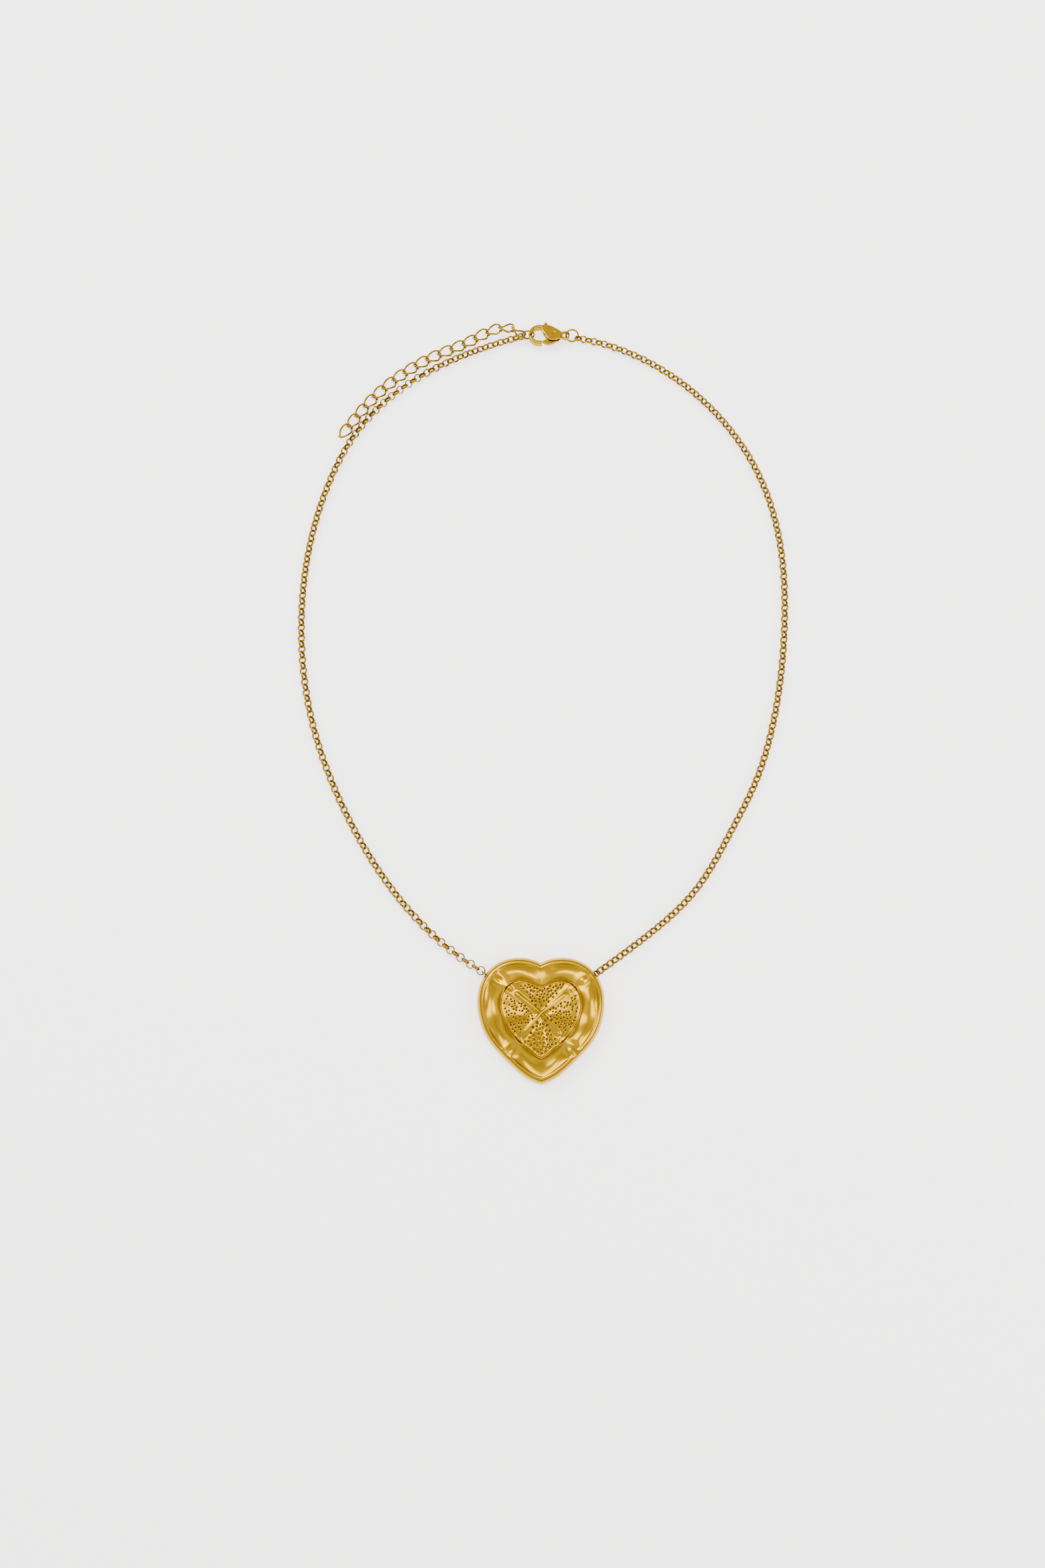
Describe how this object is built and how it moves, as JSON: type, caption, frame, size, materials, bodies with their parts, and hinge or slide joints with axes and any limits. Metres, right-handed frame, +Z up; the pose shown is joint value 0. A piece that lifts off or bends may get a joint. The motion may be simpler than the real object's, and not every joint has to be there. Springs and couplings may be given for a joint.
{
  "type": "pendant necklace",
  "caption": "Puffed heart pendant with an engraved inner heart on a link chain, closed by a lobster clasp, with an extender of twisted links",
  "frame": {"origin": "centre of the heart's flat back, on the surface the necklace lies on", "axes": "+Y runs from the heart up to the clasp, +X is to the right seen from the front, +Z is up out of the face"},
  "size_m": [0.1168, 0.1869, 0.0053],
  "materials": {
    "pendant_gold": "satin warm yellow gold plate, polished on the high edges",
    "chain_gold": "polished yellow gold plate",
    "spring_steel": "plain spring wire"
  },
  "bodies": {
    "heart": {"heart_back": "pendant_gold", "heart_front": "pendant_gold", "left_loop": "chain_gold", "right_loop": "chain_gold"},
    "left_chain_01": {"left_chain_01": "chain_gold"},
    "left_chain_02": {"left_chain_02": "chain_gold"},
    "left_chain_03": {"left_chain_03": "chain_gold"},
    "left_chain_04": {"left_chain_04": "chain_gold"},
    "left_chain_05": {"left_chain_05": "chain_gold"},
    "left_chain_06": {"left_chain_06": "chain_gold"},
    "left_chain_07": {"left_chain_07": "chain_gold"},
    "left_chain_08": {"left_chain_08": "chain_gold"},
    "left_chain_09": {"left_chain_09": "chain_gold"},
    "left_chain_10": {"left_chain_10": "chain_gold"},
    "catch_ring": {"catch_ring": "chain_gold"},
    "extender_1": {"extender_1": "chain_gold"},
    "extender_2": {"extender_2": "chain_gold"},
    "extender_3": {"extender_3": "chain_gold"},
    "extender_4": {"extender_4": "chain_gold"},
    "right_chain_01": {"right_chain_01": "chain_gold"},
    "right_chain_02": {"right_chain_02": "chain_gold"},
    "right_chain_03": {"right_chain_03": "chain_gold"},
    "right_chain_04": {"right_chain_04": "chain_gold"},
    "right_chain_05": {"right_chain_05": "chain_gold"},
    "right_chain_06": {"right_chain_06": "chain_gold"},
    "right_chain_07": {"right_chain_07": "chain_gold"},
    "right_chain_08": {"right_chain_08": "chain_gold"},
    "right_chain_09": {"right_chain_09": "chain_gold"},
    "right_chain_10": {"right_chain_10": "chain_gold"},
    "clasp_ring": {"clasp_ring": "chain_gold"},
    "clasp": {"clasp_body": "chain_gold", "clasp_pin": "chain_gold", "clasp_spring": "spring_steel"},
    "clasp_lever": {"clasp_lever": "chain_gold"}
  },
  "joints": [
    {"name": "left_bend_01", "type": "hinge", "parent": "heart", "child": "left_chain_01", "pos_m": [-0.01217, 0.01024, 0.00105], "axis": [0.4931, 0.8637, 0.1045], "range_deg": [-35, 35]},
    {"name": "left_bend_02", "type": "hinge", "parent": "left_chain_01", "child": "left_chain_02", "pos_m": [-0.02797, 0.0228, 0.00105], "axis": [0.4155, 0.3906, -0.8215], "range_deg": [-35, 35]},
    {"name": "left_bend_03", "type": "hinge", "parent": "left_chain_02", "child": "left_chain_03", "pos_m": [-0.03941, 0.03793, 0.00105], "axis": [-0.5248, -0.3241, 0.7871], "range_deg": [-35, 35]},
    {"name": "left_bend_04", "type": "hinge", "parent": "left_chain_03", "child": "left_chain_04", "pos_m": [-0.04863, 0.05604, 0.00105], "axis": [-0.78, -0.3212, -0.537], "range_deg": [-35, 35]},
    {"name": "left_bend_05", "type": "hinge", "parent": "left_chain_04", "child": "left_chain_05", "pos_m": [-0.05452, 0.07549, 0.00105], "axis": [-0.4438, -0.086, 0.892], "range_deg": [-35, 35]},
    {"name": "left_bend_06", "type": "hinge", "parent": "left_chain_05", "child": "left_chain_06", "pos_m": [-0.05649, 0.09572, 0.00105], "axis": [-0.8941, -0.0059, -0.4479], "range_deg": [-35, 35]},
    {"name": "left_bend_07", "type": "hinge", "parent": "left_chain_06", "child": "left_chain_07", "pos_m": [-0.05498, 0.11463, 0.00105], "axis": [0.8394, -0.1437, 0.5242], "range_deg": [-35, 35]},
    {"name": "left_bend_08", "type": "hinge", "parent": "left_chain_07", "child": "left_chain_08", "pos_m": [-0.04948, 0.13418, 0.00105], "axis": [0.5582, -0.2266, -0.7981], "range_deg": [0, 35]},
    {"name": "left_bend_09", "type": "hinge", "parent": "left_chain_08", "child": "left_chain_09", "pos_m": [-0.03852, 0.15117, 0.00105], "axis": [0.5243, -0.5129, 0.6798], "range_deg": [-35, 0]},
    {"name": "left_bend_10", "type": "hinge", "parent": "left_chain_09", "child": "left_chain_10", "pos_m": [-0.02325, 0.16234, 0.00104], "axis": [-0.4202, 0.7968, -0.4343], "range_deg": [0, 70]},
    {"name": "catch_ring_turn", "type": "hinge", "parent": "left_chain_10", "child": "catch_ring", "pos_m": [-0.0026, 0.1699, 0.00178], "axis": [0, -0.9994, 0.0349], "range_deg": [-150, 150]},
    {"name": "extender_swing", "type": "hinge", "parent": "left_chain_10", "child": "extender_1", "pos_m": [-0.00391, 0.16993, 0.00257], "axis": [-0.515, -0.0299, -0.8566], "range_deg": [0, 30]},
    {"name": "extender_bend_2", "type": "hinge", "parent": "extender_1", "child": "extender_2", "pos_m": [-0.01592, 0.16951, 0.00081], "axis": [0.4887, -0.8724, 0], "range_deg": [-20, 20]},
    {"name": "extender_bend_3", "type": "hinge", "parent": "extender_2", "child": "extender_3", "pos_m": [-0.02788, 0.16349, 0.00075], "axis": [0, 0, -1], "range_deg": [0, 20]},
    {"name": "extender_bend_4", "type": "hinge", "parent": "extender_3", "child": "extender_4", "pos_m": [-0.04083, 0.153, 0.00074], "axis": [-0.7507, 0.6606, 0], "range_deg": [-20, 20]},
    {"name": "right_bend_01", "type": "hinge", "parent": "heart", "child": "right_chain_01", "pos_m": [0.01217, 0.01024, 0.00105], "axis": [-0.4079, 0.5776, 0.7071], "range_deg": [-35, 35]},
    {"name": "right_bend_02", "type": "hinge", "parent": "right_chain_01", "child": "right_chain_02", "pos_m": [0.02825, 0.02233, 0.00105], "axis": [-0.4562, 0.5317, -0.7135], "range_deg": [-35, 35]},
    {"name": "right_bend_03", "type": "hinge", "parent": "right_chain_02", "child": "right_chain_03", "pos_m": [0.04016, 0.03682, 0.00105], "axis": [0.5986, -0.3514, 0.7199], "range_deg": [-35, 35]},
    {"name": "right_bend_04", "type": "hinge", "parent": "right_chain_03", "child": "right_chain_04", "pos_m": [0.04973, 0.05462, 0.00105], "axis": [0.667, -0.2883, -0.687], "range_deg": [-35, 35]},
    {"name": "right_bend_05", "type": "hinge", "parent": "right_chain_04", "child": "right_chain_05", "pos_m": [0.05549, 0.07396, 0.00105], "axis": [0.6662, -0.1354, 0.7333], "range_deg": [-35, 35]},
    {"name": "right_bend_06", "type": "hinge", "parent": "right_chain_05", "child": "right_chain_06", "pos_m": [0.05816, 0.09398, 0.00105], "axis": [0.7381, -0.0521, -0.6727], "range_deg": [-35, 35]},
    {"name": "right_bend_07", "type": "hinge", "parent": "right_chain_06", "child": "right_chain_07", "pos_m": [0.05807, 0.11282, 0.00105], "axis": [-0.7886, -0.0769, 0.6101], "range_deg": [-35, 35]},
    {"name": "right_bend_08", "type": "hinge", "parent": "right_chain_07", "child": "right_chain_08", "pos_m": [0.05339, 0.13241, 0.00105], "axis": [-0.4305, -0.1765, -0.8851], "range_deg": [-35, 35]},
    {"name": "right_bend_09", "type": "hinge", "parent": "right_chain_08", "child": "right_chain_09", "pos_m": [0.04286, 0.14957, 0.00105], "axis": [-0.7242, -0.6161, 0.3098], "range_deg": [-35, 35]},
    {"name": "right_bend_10", "type": "hinge", "parent": "right_chain_09", "child": "right_chain_10", "pos_m": [0.02871, 0.16193, 0.00105], "axis": [0.4975, 0.7869, -0.3649], "range_deg": [-35, 35]},
    {"name": "clasp_ring_swing", "type": "hinge", "parent": "right_chain_10", "child": "clasp_ring", "pos_m": [0.01003, 0.16932, 0.00107], "axis": [0.0762, 0.4157, 0.9063], "range_deg": [0, 90]},
    {"name": "clasp_swing", "type": "hinge", "parent": "clasp_ring", "child": "clasp", "pos_m": [0.00844, 0.16975, 0.00166], "axis": [0, -0.8572, 0.515], "range_deg": [0, 90]},
    {"name": "lever_turn", "type": "hinge", "parent": "clasp", "child": "clasp_lever", "pos_m": [0.00374, 0.1701, 0.00166], "axis": [0, 0, -1], "range_deg": [0, 28], "stiffness_Nm_per_rad": 0.002, "springref_deg": -8.59, "deforming": ["clasp_spring"]}
  ]
}
